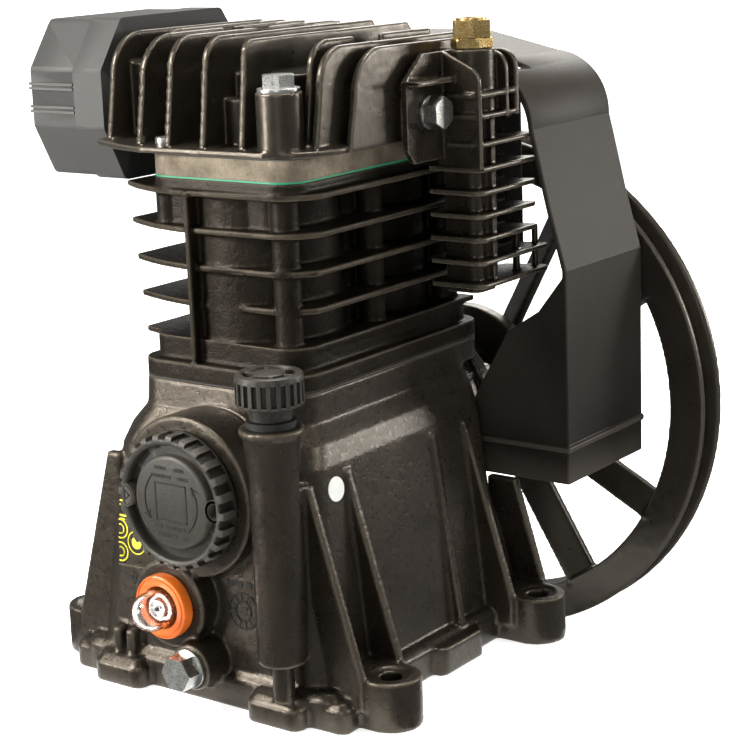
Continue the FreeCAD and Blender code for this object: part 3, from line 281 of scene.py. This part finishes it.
def cast_surface(obj, voxel, passes):
    """Rounded edges and a faint unevenness, as sand casting leaves them."""
    remesh = obj.modifiers.new("skin", "REMESH")
    remesh.mode = "VOXEL"
    remesh.voxel_size = voxel * MM
    remesh.use_smooth_shade = True
    smooth = obj.modifiers.new("fillet", "SMOOTH")
    smooth.factor = 0.5
    smooth.iterations = passes
    texture = bpy.data.textures.new(obj.name + "_ripple", "CLOUDS")
    texture.noise_scale = 5 * MM
    texture.noise_depth = 2
    displace = obj.modifiers.new("ripple", "DISPLACE")
    displace.texture = texture
    displace.texture_coords = "LOCAL"
    displace.mid_level = 0.5
    displace.strength = CAST_RIPPLE * MM


def soft_edges(obj, width):
    """Small bevels on the sharp edges of a turned, moulded or pressed part."""
    weld = obj.modifiers.new("weld", "WELD")
    weld.merge_threshold = 0.002 * MM
    bevel = obj.modifiers.new("edge", "BEVEL")
    bevel.width = width * MM
    bevel.segments = 2
    bevel.limit_method = "ANGLE"
    bevel.angle_limit = math.radians(35)
    bevel.harden_normals = False
    bevel.use_clamp_overlap = True


for node_name, node in frame["nodes"].items():
    use_material(node, M[FINISH[node_name]])
    if node_name in CAST:
        cast_surface(node, *CAST[node_name])
    elif node_name in BEVEL:
        soft_edges(node, BEVEL[node_name])

# ------------------------------------------------------------------ detailed pieces
CRANK_Z = 94.3
CAP_BACK = -87.4                                  # back face of the front cap's rim
FILLER = (51.0, -88.0)
SIGHT = (-12.0, 44.0)
LUG, NOTCH = (-26.6, 0.0), (25.0, 0.0)            # grip lug and finger notch on the front cap
FACE, ARROW_R = 8.8, 14.8                         # height of the cap's centre plate, arrows' radius
DOME_R, DOME_HOLLOW_R, DOME_DEPTH = 8.8, 7.0, 100.0
COOLER_IN, COOLER_OUT, COOLER_FRONT = 57.0, 79.7, 29.0
COOLER_FINS = tuple(172.0 + 10.45 * i for i in range(6)) + (235.2, 247.6, 256.8)


def facing_front(x, z, y):
    """Local u to the right, v up and depth d out of the front of the machine."""
    return lambda u, v, d: (x + u, y - d, z + v)


def standing(x, y):
    """Local u and v level, d is the height above the base."""
    return lambda u, v, d: (x + u, y + v, d)


def on_case(x, z):
    """On the sloping front wall of the crankcase."""
    def place(u, v, d):
        height = z + v
        y = -80 + (height - 14) * 3 / 56 if height < 70 else -77 + (height - 70) * 4 / 38
        return x + u, y - d, height
    return place


class Shape:
    """Collects closed shells, each with its own material number, into one mesh."""

    def __init__(self):
        self.verts, self.faces, self.marks = [], [], []

    def add(self, verts, faces, mark):
        """mark is the faces' material number."""
        start = len(self.verts)
        self.verts += verts
        self.faces += [tuple(start + i for i in face) for face in faces]
        self.marks += [mark] * len(faces)

    def lathe(self, profile, place, teeth=0, mark=0, steps=96):
        """profile: (radius, depth, tooth depth); the tooth depth is cut away between teeth."""
        if teeth:
            turns = [((i + f) / teeth, cut) for i in range(teeth)
                     for f, cut in ((0.0, 0), (0.04, 1), (0.29, 1), (0.54, 1), (0.58, 0), (0.79, 0))]
        else:
            turns = [(i / steps, 0) for i in range(steps)]
        verts, rings = [], []
        for radius, depth, tooth in profile:
            if radius == 0:
                rings.append([len(verts)])
                verts.append(place(0, 0, depth))
                continue
            rings.append(list(range(len(verts), len(verts) + len(turns))))
            for turn, cut in turns:
                r, a = radius - tooth * cut, TAU * turn
                verts.append(place(r * math.cos(a), r * math.sin(a), depth))
        faces, count = [], len(turns)
        for one, two in zip(rings, rings[1:]):
            for i in range(count):
                j = (i + 1) % count
                if len(one) == 1:
                    faces.append((one[0], two[i], two[j]))
                elif len(two) == 1:
                    faces.append((one[i], two[0], one[j]))
                else:
                    faces.append((one[i], two[i], two[j], one[j]))
        self.add(verts, faces, mark)

    def prism(self, outline, d0, d1, place, mark=0):
        """Outline in u and v, extruded from depth d0 to d1."""
        count = len(outline)
        verts = [place(u, v, d) for d in (d0, d1) for u, v in outline]
        faces = [tuple(range(count))[::-1], tuple(range(count, 2 * count))]
        faces += [(i, (i + 1) % count, count + (i + 1) % count, count + i) for i in range(count)]
        self.add(verts, faces, mark)

    def stroke(self, points, width, d0, d1, place, mark=0):
        """A line of constant width through the points, as short bars that overlap a little."""
        for (u0, v0), (u1, v1) in zip(points, points[1:]):
            length = math.hypot(u1 - u0, v1 - v0)
            du, dv = (u1 - u0) / length * width / 2, (v1 - v0) / length * width / 2
            self.prism(((u0 - du + dv, v0 - dv - du), (u1 + du + dv, v1 + dv - du),
                        (u1 + du - dv, v1 + dv + du), (u0 - du - dv, v0 - dv + du)), d0, d1, place, mark)

    def make(self, name, mats, body, nodes=(), bevel=0.0):
        """Mesh object riding on a body, in place of the CAD nodes if there are any."""
        mesh = bpy.data.meshes.new(name)
        mesh.from_pydata([tuple(c * MM for c in v) for v in self.verts], [], self.faces)
        for polygon, mark in zip(mesh.polygons, self.marks):
            polygon.material_index = mark
        for mat in mats:
            mesh.materials.append(M[mat])
        bm = bmesh.new()
        bm.from_mesh(mesh)
        bmesh.ops.recalc_face_normals(bm, faces=bm.faces)
        bm.to_mesh(mesh)
        bm.free()
        mesh.shade_smooth()
        mesh.set_sharp_from_angle(angle=SHARP_ANGLE)
        obj = bpy.data.objects.new(name, mesh)
        bpy.context.scene.collection.objects.link(obj)
        if bevel:
            soft_edges(obj, bevel)
        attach(obj, body)
        if nodes:
            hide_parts(*nodes)
        return obj


def arc(radius, start, end, centre=(0.0, 0.0), steps=16):
    """Points along an arc, angles in degrees."""
    angles = [math.radians(start + (end - start) * i / steps) for i in range(steps + 1)]
    return [(centre[0] + radius * math.cos(a), centre[1] + radius * math.sin(a)) for a in angles]


def dashes(shape, rows, pitch, place, width, d0, d1, mark):
    """Rows of plain bars where the real part has lettering. rows: (height, half width, gap place)."""
    for v, half, gap in rows:
        u = -half
        step = 0
        while u < half:
            length = pitch * (1.3, 0.8, 1.7)[step % 3]
            if step % 4 != gap:
                shape.stroke(((u, v), (min(u + length, half), v)), width, d0, d1, place, mark)
            u += length + pitch * 0.55
            step += 1


def front_cap():
    """Notched round cap: sunken ring round a centre plate, grip lug, finger notch, turning arrows."""
    place = facing_front(0, CRANK_Z, CAP_BACK)
    rim = Shape()
    rim.lathe(((0, 6.0, 0), (20.4, 6.0, 0), (21.0, 5.2, 0), (25.3, 5.0, 0), (25.6, 8.9, 0), (26.1, 9.6, 0),
               (26.7, 9.9, 0), (27.5, 10.0, 0.3), (28.9, 9.9, 1.3), (29.6, 9.5, 1.6), (30.0, 8.8, 1.7),
               (30.0, 1.45, 1.7), (30.0, 1.4, 0), (29.9, 0.5, 0), (29.4, 0.0, 0), (21.6, 0.0, 0),
               (21.6, -4.2, 0), (19.6, -4.2, 0), (19.6, -7.2, 0), (21.6, -7.2, 0), (21.6, -10.8, 0),
               (21.0, -11.4, 0), (18.5, -11.4, 0), (18.5, 2.5, 0), (0, 2.5, 0)), place, teeth=24)
    rim.prism(arc(5.6, -90, 90, LUG), 4.5, 9.6, place)
    rim.stroke(arc(4.7, -80, 80, LUG), 0.6, 9.4, 10.0, place)
    # mark 1 is painted shade: the lug's triangle and the notch floor are darker matte black
    rim.stroke(((-26.2, -2.2), (-26.2, 2.2), (-23.4, 0.0), (-26.2, -2.2)), 0.5, 9.4, 9.9, place, 1)
    rim.stroke(arc(4.3, 62, 298, NOTCH), 1.5, 4.5, 9.8, place)
    rim.prism(arc(3.6, 0, 360, NOTCH)[:-1], 4.6, 5.3, place, 1)
    rim.make("front_cap_rim", ("cap_plastic", "painted_shade_black"), "front_cap",
             ("breather_cap",), 0.18)

    plate = Shape()
    plate.lathe(((0, FACE, 0), (19.0, FACE, 0), (20.0, 8.6, 0), (20.6, 8.0, 0), (20.9, 6.9, 0),
                 (20.9, 5.2, 0), (0, 5.2, 0)), place)
    # mark 1 is painted shade: the box, arrows and dashes are darker matte black for the shade in their
    # grooves
    lines = (8.6, 8.98, place, 1)
    plate.stroke([(-8.6, -8.2), (8.6, -8.2), (8.6, 8.2), (-8.6, 8.2), (-8.6, -8.2)], 0.7, *lines)
    for start, end in ((128, 214), (-52, 34)):
        plate.stroke(arc(ARROW_R, start, end), 0.6, *lines)
        a = math.radians(end)
        tip = (ARROW_R * math.cos(a), ARROW_R * math.sin(a))
        for turn in (-150, -210):
            a = math.radians(end + 90 + turn)
            plate.stroke((tip, (tip[0] + 3.4 * math.cos(a), tip[1] + 3.4 * math.sin(a))), 0.6, *lines)
    dashes(plate, ((15.0, 7.6, 2), (11.4, 9.6, 3), (-11.4, 9.2, 1), (-15.0, 7.8, 3)), 2.0, place, 1.5,
           8.6, 8.94, 1)
    plate.make("front_cap_plate", ("cap_plastic", "painted_shade_black"), "front_cap")


def oil_cap():
    """Ribbed filler cap with a spoked recess on top, its plug, and the dipstick below."""
    place = standing(*FILLER)
    cap = Shape()
    cap.lathe(((0, 155.9, 0), (6.4, 155.9, 0), (7.0, 155.5, 0), (7.2, 153.2, 0), (10.8, 153.2, 0),
               (11.0, 155.5, 0), (11.4, 156.0, 0), (13.0, 156.0, 0), (13.9, 155.5, 0), (14.3, 154.2, 0),
               (14.4, 153.0, 0), (14.4, 152.8, 1.5), (14.4, 144.0, 1.5), (14.4, 143.8, 0), (14.2, 142.9, 0),
               (13.6, 142.5, 0), (9.2, 142.5, 0), (9.0, 142.0, 0), (9.0, 136.6, 0), (8.6, 136.2, 0),
               (6.2, 136.2, 0), (6.2, 112.6, 0), (5.6, 112.0, 0), (1.8, 112.0, 0), (1.8, 50.6, 0),
               (1.2, 50.0, 0), (0, 50.0, 0)), place, teeth=22)
    for i in range(6):
        a = math.radians(60 * i + 15)
        ends = [(r * math.cos(a), r * math.sin(a)) for r in (6.6, 11.2)]
        cap.stroke(ends, 1.6, 152.8, 155.4, place)
    cap.prism(((-1, -3), (1, -3), (1, 3), (-1, 3)), 46, 62, place)
    cap.make("oil_cap_grip", ("cap_plastic",), "oil_cap", ("filler_cap",), 0.2)


def sight_glass():
    """Orange threaded ring, thick clear dome and the stepped reflector inside it."""
    place = facing_front(*SIGHT, 0.0)
    ring = Shape()
    ring.lathe(((9.6, 84.0, 0), (9.6, 94.0, 0), (10.0, 94.5, 0), (12.2, 94.5, 0), (12.5, 93.9, 0),
                (13.3, 93.8, 0), (13.7, 94.4, 0), (14.1, 94.3, 0), (14.5, 93.7, 0), (14.5, 89.3, 0),
                (14.1, 89.0, 0), (13.2, 89.0, 0), (13.2, 84.3, 0), (12.8, 84.0, 0), (9.6, 84.0, 0)),
               place, steps=128)
    ring.make("sight_ring", ("orange_plastic",), "housing", ("sight_glass_ring",))
    angles = [math.radians(6 * i) for i in range(16)]
    outer = [(DOME_R * math.sin(t), DOME_DEPTH + DOME_R * math.cos(t), 0) for t in angles]
    inner = [(DOME_HOLLOW_R * math.sin(t), DOME_DEPTH + DOME_HOLLOW_R * math.cos(t), 0)
             for t in reversed(angles)]
    outer[0], inner[-1] = (0, DOME_DEPTH + DOME_R, 0), (0, DOME_DEPTH + DOME_HOLLOW_R, 0)
    dome = Shape()
    dome.lathe(outer + [(8.8, 87.0, 0), (9.5, 86.8, 0), (9.5, 84.1, 0), (7.0, 84.1, 0)] + inner, place)
    dome.make("sight_dome", ("clear_lens",), "housing", ("sight_glass_lens",))
    back = Shape()
    back.lathe(((0, 96.0, 0), (1.2, 96.0, 0), (1.6, 95.4, 0), (3.6, 95.4, 0), (3.9, 96.6, 0),
                (4.4, 96.6, 0), (4.8, 95.2, 0), (6.2, 94.6, 0), (6.5, 93.8, 0), (6.5, 83.0, 0),
                (9.4, 82.6, 0), (9.4, 81.5, 0), (0, 81.5, 0)), place)
    # mark 1 is painted shade: the dark centre of the reflector
    back.lathe(((0, 97.3, 0), (0.9, 97.0, 0), (1.1, 95.9, 0), (0, 95.9, 0)), place, mark=1)
    back.make("sight_reflector", ("bright_steel", "painted_shade_black"), "housing",
              ("sight_glass_backing",))


def case_marks():
    """Raised marks cast on the front wall: a date ring with plain ticks, level lines and blank dashes, in
    darker matte black as painted shade of the cast lines.
    """
    marks = Shape()
    date = on_case(22.4, 43.9)
    for radius, width in ((8.0, 0.7), (4.3, 0.6)):
        marks.stroke(arc(radius, 0, 360, steps=48), width, -0.6, 0.35, date)
    for i in range(12):
        a = math.radians(30 * i + 10)
        marks.stroke([(r * math.cos(a), r * math.sin(a)) for r in (5.2, 7.4)], 0.8, -0.6, 0.3, date)
    marks.stroke(((-1.4, 1.2), (1.6, 1.2)), 1.0, -0.6, 0.3, date)
    marks.stroke(((-1.6, -1.2), (1.2, -1.2)), 1.0, -0.6, 0.3, date)
    dashes(marks, ((0.0, 9.0, 3),), 1.9, on_case(20.4, 55.9), 2.4, -0.6, 0.3, 0)
    dashes(marks, ((0.0, 3.4, 3),), 1.7, on_case(-41.6, 47.4), 2.2, -0.6, 0.3, 0)
    for u, v, length in ((-44.4, 41.9, 4.0), (-46.0, 37.8, 2.8), (-46.6, 34.1, 2.8), (-47.0, 30.9, 2.8)):
        marks.stroke(((u, v), (u + length, v)), 0.6, -0.6, 0.3, on_case(0, 0))
    marks.make("case_marks", ("painted_shade_black",), "housing")
    ribs = Shape()
    ribs.stroke(((-51.2, 52.6), (-27.0, 53.4)), 0.5, -0.8, 0.35, on_case(0, 0))
    ribs.stroke(((3.2, 29.0), (2.4, 61.0)), 0.9, -0.8, 0.7, on_case(0, 0))
    ribs.make("case_parting_lines", ("case_black",), "housing", bevel=0.12)


def stickers():
    """A yellow printed sticker of plain loops and bars, and a blank white oval on the side wall."""
    print_marks = Shape()
    for v in (69.3, 58.7):
        print_marks.stroke(arc(4.3, -100, 100, (-49.6, v)), 0.6, 0.0, 0.14, on_case(0, 0))
        print_marks.stroke(arc(2.1, -100, 100, (-49.6, v)), 0.6, 0.0, 0.14, on_case(0, 0))
    for v, length in ((82.4, 2.6), (80.6, 1.9), (75.6, 3.4), (73.9, 2.2)):
        print_marks.stroke(((-49.6, v), (-49.6 + length, v)), 0.8, 0.0, 0.14, on_case(0, 0))
    print_marks.prism(arc(2.9, 0, 360, steps=28)[:-1], 0.0, 0.16, on_case(-39.8, 64.2))
    print_marks.stroke(arc(5.2, 0, 360, (-39.8, 64.2), 32), 0.5, 0.0, 0.14, on_case(0, 0))
    print_marks.make("yellow_sticker", ("yellow_label",), "housing")
    label = Shape()
    label.prism([(5.4 * math.cos(TAU * i / 40), 5.3 * math.sin(TAU * i / 40)) for i in range(40)], -0.3, 0.22,
                lambda u, v, d: (57.35 - 0.133 * v + d, -54.6 + u, 98.1 + v))
    label.make("blank_label", ("white_label",), "housing")


def cooler():
    """Delivery chamber: bolted flange, narrow column, stacked fins open to the shroud behind."""
    level, sideways, frontal = standing(0, 0), (lambda u, v, d: (d, u, v)), (lambda u, v, d: (u, d, v))
    body = Shape()
    body.prism([(COOLER_IN, 34), *arc(4, -90, 0, (70, 38), 5), *arc(4, 0, 90, (70, 47), 5),
                (COOLER_IN, 51)], 168, 266, level)                                   # column
    body.prism(arc(10.0, 0, 360, (67, 44), 40)[:-1], 250, 276.4, level)              # outlet boss
    body.prism([(3, 235), (8, 229), (50, 229), (50, 276), (17, 276), (3, 265)],
               COOLER_IN, COOLER_IN + 3, sideways)                                   # flange
    body.prism([(3, 263), (30, 263), (30, 265.2), (3, 265.2)], 58, 67, sideways)     # shelf fin
    body.prism([(COOLER_IN, 225), (79.6, 225), *arc(8, 0, 60, (71.6, 262), 5), (62, 275.5),
                (COOLER_IN, 275.5)], 30, 32.4, frontal)                              # front plate
    body.prism([(48, 178), (90, 178), (90, 258), (48, 258)], 61, 63.4, sideways)     # rear wall
    for y in (51.5, 59.5):                                                           # round-topped uprights
        body.prism([(60, 246), (79.8, 246), *arc(8, 0, 90, (71.8, 267), 6), (60, 275)], y, y + 2.4, frontal)
    body.prism([(60, 72), (73.5, 72), (73.5, 86), (60, 86)], 169, 171.5, level)
    for i, z in enumerate(COOLER_FINS):
        inner = 48.5 if i < 6 else 58.5                  # the low fins reach in over the block
        reach = 87.0 if i < 2 else (77.0 if i < 7 else 62.0)
        body.prism([(inner, 58), (inner, 34), (inner + 4, COOLER_FRONT), *arc(4.5, -90, 0, (75.2, 33.5), 5),
                    (COOLER_OUT, reach - 3), (78, reach), (58.5, reach - 6)], z - 1.1, z + 1.1, level)
    for x, y in ((72, 66), (74, 79)):                                                # pins between low fins
        body.prism([(x, y), (x + 2.6, y), (x + 2.6, y + 2.6), (x, y + 2.6)], 172, 193, level)
    body.prism([(71, 42), (77.5, 42), (77.5, 45), (71, 45)], 171, 257, level)        # rib on the column
    obj = body.make("cooler_casting", ("cooler_black",), "housing", ("discharge_cooler",))
    cast_surface(obj, 0.6, 2)


front_cap()
oil_cap()
cooler()
sight_glass()
case_marks()
stickers()

# ------------------------------------------------------------------ floor, light, camera
def stage_box(name, low, high, mat):
    """Box with rounded edges, outside the part."""
    mesh = bpy.data.meshes.new(name)
    bm = bmesh.new()
    bmesh.ops.create_cube(bm, size=1.0)
    for v in bm.verts:
        v.co = Vector([low[i] + (v.co[i] + 0.5) * (high[i] - low[i]) for i in range(3)])
    bm.to_mesh(mesh)
    bm.free()
    obj = bpy.data.objects.new(name, mesh)
    bpy.context.scene.collection.objects.link(obj)
    edge = obj.modifiers.new("edge", "BEVEL")
    edge.width, edge.segments = 2 * MM, 3
    use_material(obj, mat)
    return obj


pale, pale_tree, pale_bsdf = new_material("pale_floor")
pale_bsdf.inputs["Base Color"].default_value = (0.9, 0.9, 0.9, 1.0)
pale_bsdf.inputs["Roughness"].default_value = 0.9
pale_bsdf.inputs["Specular IOR Level"].default_value = 0.1
# painted light: the pale floor and plinth glow white, weaker (0.75) within 0.28 m of the centre and full
# strength beyond 0.75 m
coords = add_node(pale_tree, "ShaderNodeTexCoord")
reach = add_node(pale_tree, "ShaderNodeVectorMath", operation="LENGTH")
pale_tree.links.new(coords.outputs["Object"], reach.inputs[0])
pale_bsdf.inputs["Emission Color"].default_value = (1.0, 1.0, 1.0, 1.0)
pale_tree.links.new(ramp(pale_tree, reach.outputs["Value"], ((0.28, 0.75), (0.75, 1.0))),
                    pale_bsdf.inputs["Emission Strength"])
FLOOR_Z = cad_low.z - 1 * MM
floor = stage_box("floor", (-4, -4, FLOOR_Z - 0.02), (4, 4, FLOOR_Z), pale)
floor.visible_glossy = False
foot_low, foot_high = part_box("crankcase")
stage_box("plinth", (foot_low.x - 3 * MM, foot_low.y + 2 * MM, FLOOR_Z),
          (foot_high.x + 3 * MM, 75 * MM, foot_low.z - 0.1 * MM), pale)

bpy.context.scene.view_settings.view_transform = "Standard"
world = bpy.data.worlds.new("studio")
bpy.context.scene.world = world
world.use_nodes = True
world.node_tree.nodes["Background"].inputs["Color"].default_value = (1.0, 1.0, 1.0, 1.0)
world.node_tree.nodes["Background"].inputs["Strength"].default_value = 0.2


def softbox(name, place, target, size, power):
    """Rectangular lamp, size in metres and power in watts."""
    light = bpy.data.lights.new(name, "AREA")
    light.shape, light.size, light.size_y = "RECTANGLE", size[0], size[1]
    light.energy, light.color = power, WARM_WHITE
    obj = bpy.data.objects.new(name, light)
    obj.location = place
    obj.rotation_mode = "QUATERNION"
    obj.rotation_quaternion = (Vector(target) - Vector(place)).to_track_quat("-Z", "Y")
    bpy.context.scene.collection.objects.link(obj)


AIM = (0.0, 0.02, 0.14)
WARM_WHITE = (1.0, 0.965, 0.91)
softbox("key", (-0.75, -1.05, 1.05), AIM, (0.5, 0.4), 30)
softbox("side", (1.35, 0.35, 0.95), AIM, (0.25, 0.5), 6)
softbox("top", (0.0, 0.25, 1.4), AIM, (0.5, 0.5), 20)
softbox("strip", (0.75, -1.4, 0.6), AIM, (0.08, 0.8), 3.0)
softbox("front", (-0.85, -1.10, 0.22), (0.0, -0.06, 0.08), (0.30, 0.34), 11)
softbox("far_right", (0.80, 1.05, 0.34), AIM, (0.36, 0.30), 5)
softbox("rear", (-0.5, 1.3, 0.9), AIM, (0.9, 0.7), 11)

VIEW_AZ, VIEW_EL, VIEW_ROLL, VIEW_DIST = math.radians(37.22), math.radians(13.1), math.radians(-2.28), 0.91503
TARGET = Vector((0.01541, 0.01571, 0.13719))
back = Vector((math.sin(VIEW_AZ) * math.cos(VIEW_EL), -math.cos(VIEW_AZ) * math.cos(VIEW_EL),
               math.sin(VIEW_EL)))
right = Vector((math.cos(VIEW_AZ), math.sin(VIEW_AZ), 0.0))
up = back.cross(right)
cam_right = right * math.cos(VIEW_ROLL) + up * math.sin(VIEW_ROLL)
cam_up = up * math.cos(VIEW_ROLL) - right * math.sin(VIEW_ROLL)
camera = bpy.data.objects.new("camera", bpy.data.cameras.new("camera"))
camera.data.sensor_width = 36.0
camera.data.lens = 95.14
camera.data.shift_x, camera.data.shift_y = 0.0304, -0.0258
camera.data.clip_start, camera.data.clip_end = 0.01, 50.0
camera.matrix_world = Matrix((
    (cam_right.x, cam_up.x, back.x, TARGET.x + back.x * VIEW_DIST),
    (cam_right.y, cam_up.y, back.y, TARGET.y + back.y * VIEW_DIST),
    (cam_right.z, cam_up.z, back.z, TARGET.z + back.z * VIEW_DIST),
    (0, 0, 0, 1)))
bpy.context.scene.collection.objects.link(camera)
bpy.context.scene.camera = camera

# round white backdrop, seen as white from every side but neither lighting nor mirrored in the machine
glow, glow_bsdf = new_material("backdrop")[::2]
glow_bsdf.inputs["Base Color"].default_value = (0.9, 0.9, 0.9, 1.0)
glow_bsdf.inputs["Emission Color"].default_value = (1.0, 1.0, 1.0, 1.0)
glow_bsdf.inputs["Emission Strength"].default_value = 1.0
mesh = bpy.data.meshes.new("backdrop")
BACKDROP_R, BACKDROP_SIDES = 2.4, 72
sweep = [TAU * i / BACKDROP_SIDES for i in range(BACKDROP_SIDES)]
mesh.from_pydata([(BACKDROP_R * math.cos(a), BACKDROP_R * math.sin(a), z)
                  for z in (-0.3, 3.2) for a in sweep], [],
                 [(i, (i + 1) % BACKDROP_SIDES, (i + 1) % BACKDROP_SIDES + BACKDROP_SIDES,
                   i + BACKDROP_SIDES) for i in range(BACKDROP_SIDES)])
mesh.shade_smooth()
mesh.materials.append(glow)
backdrop = bpy.data.objects.new("backdrop", mesh)
bpy.context.scene.collection.objects.link(backdrop)
backdrop.visible_glossy = False
backdrop.visible_diffuse = False
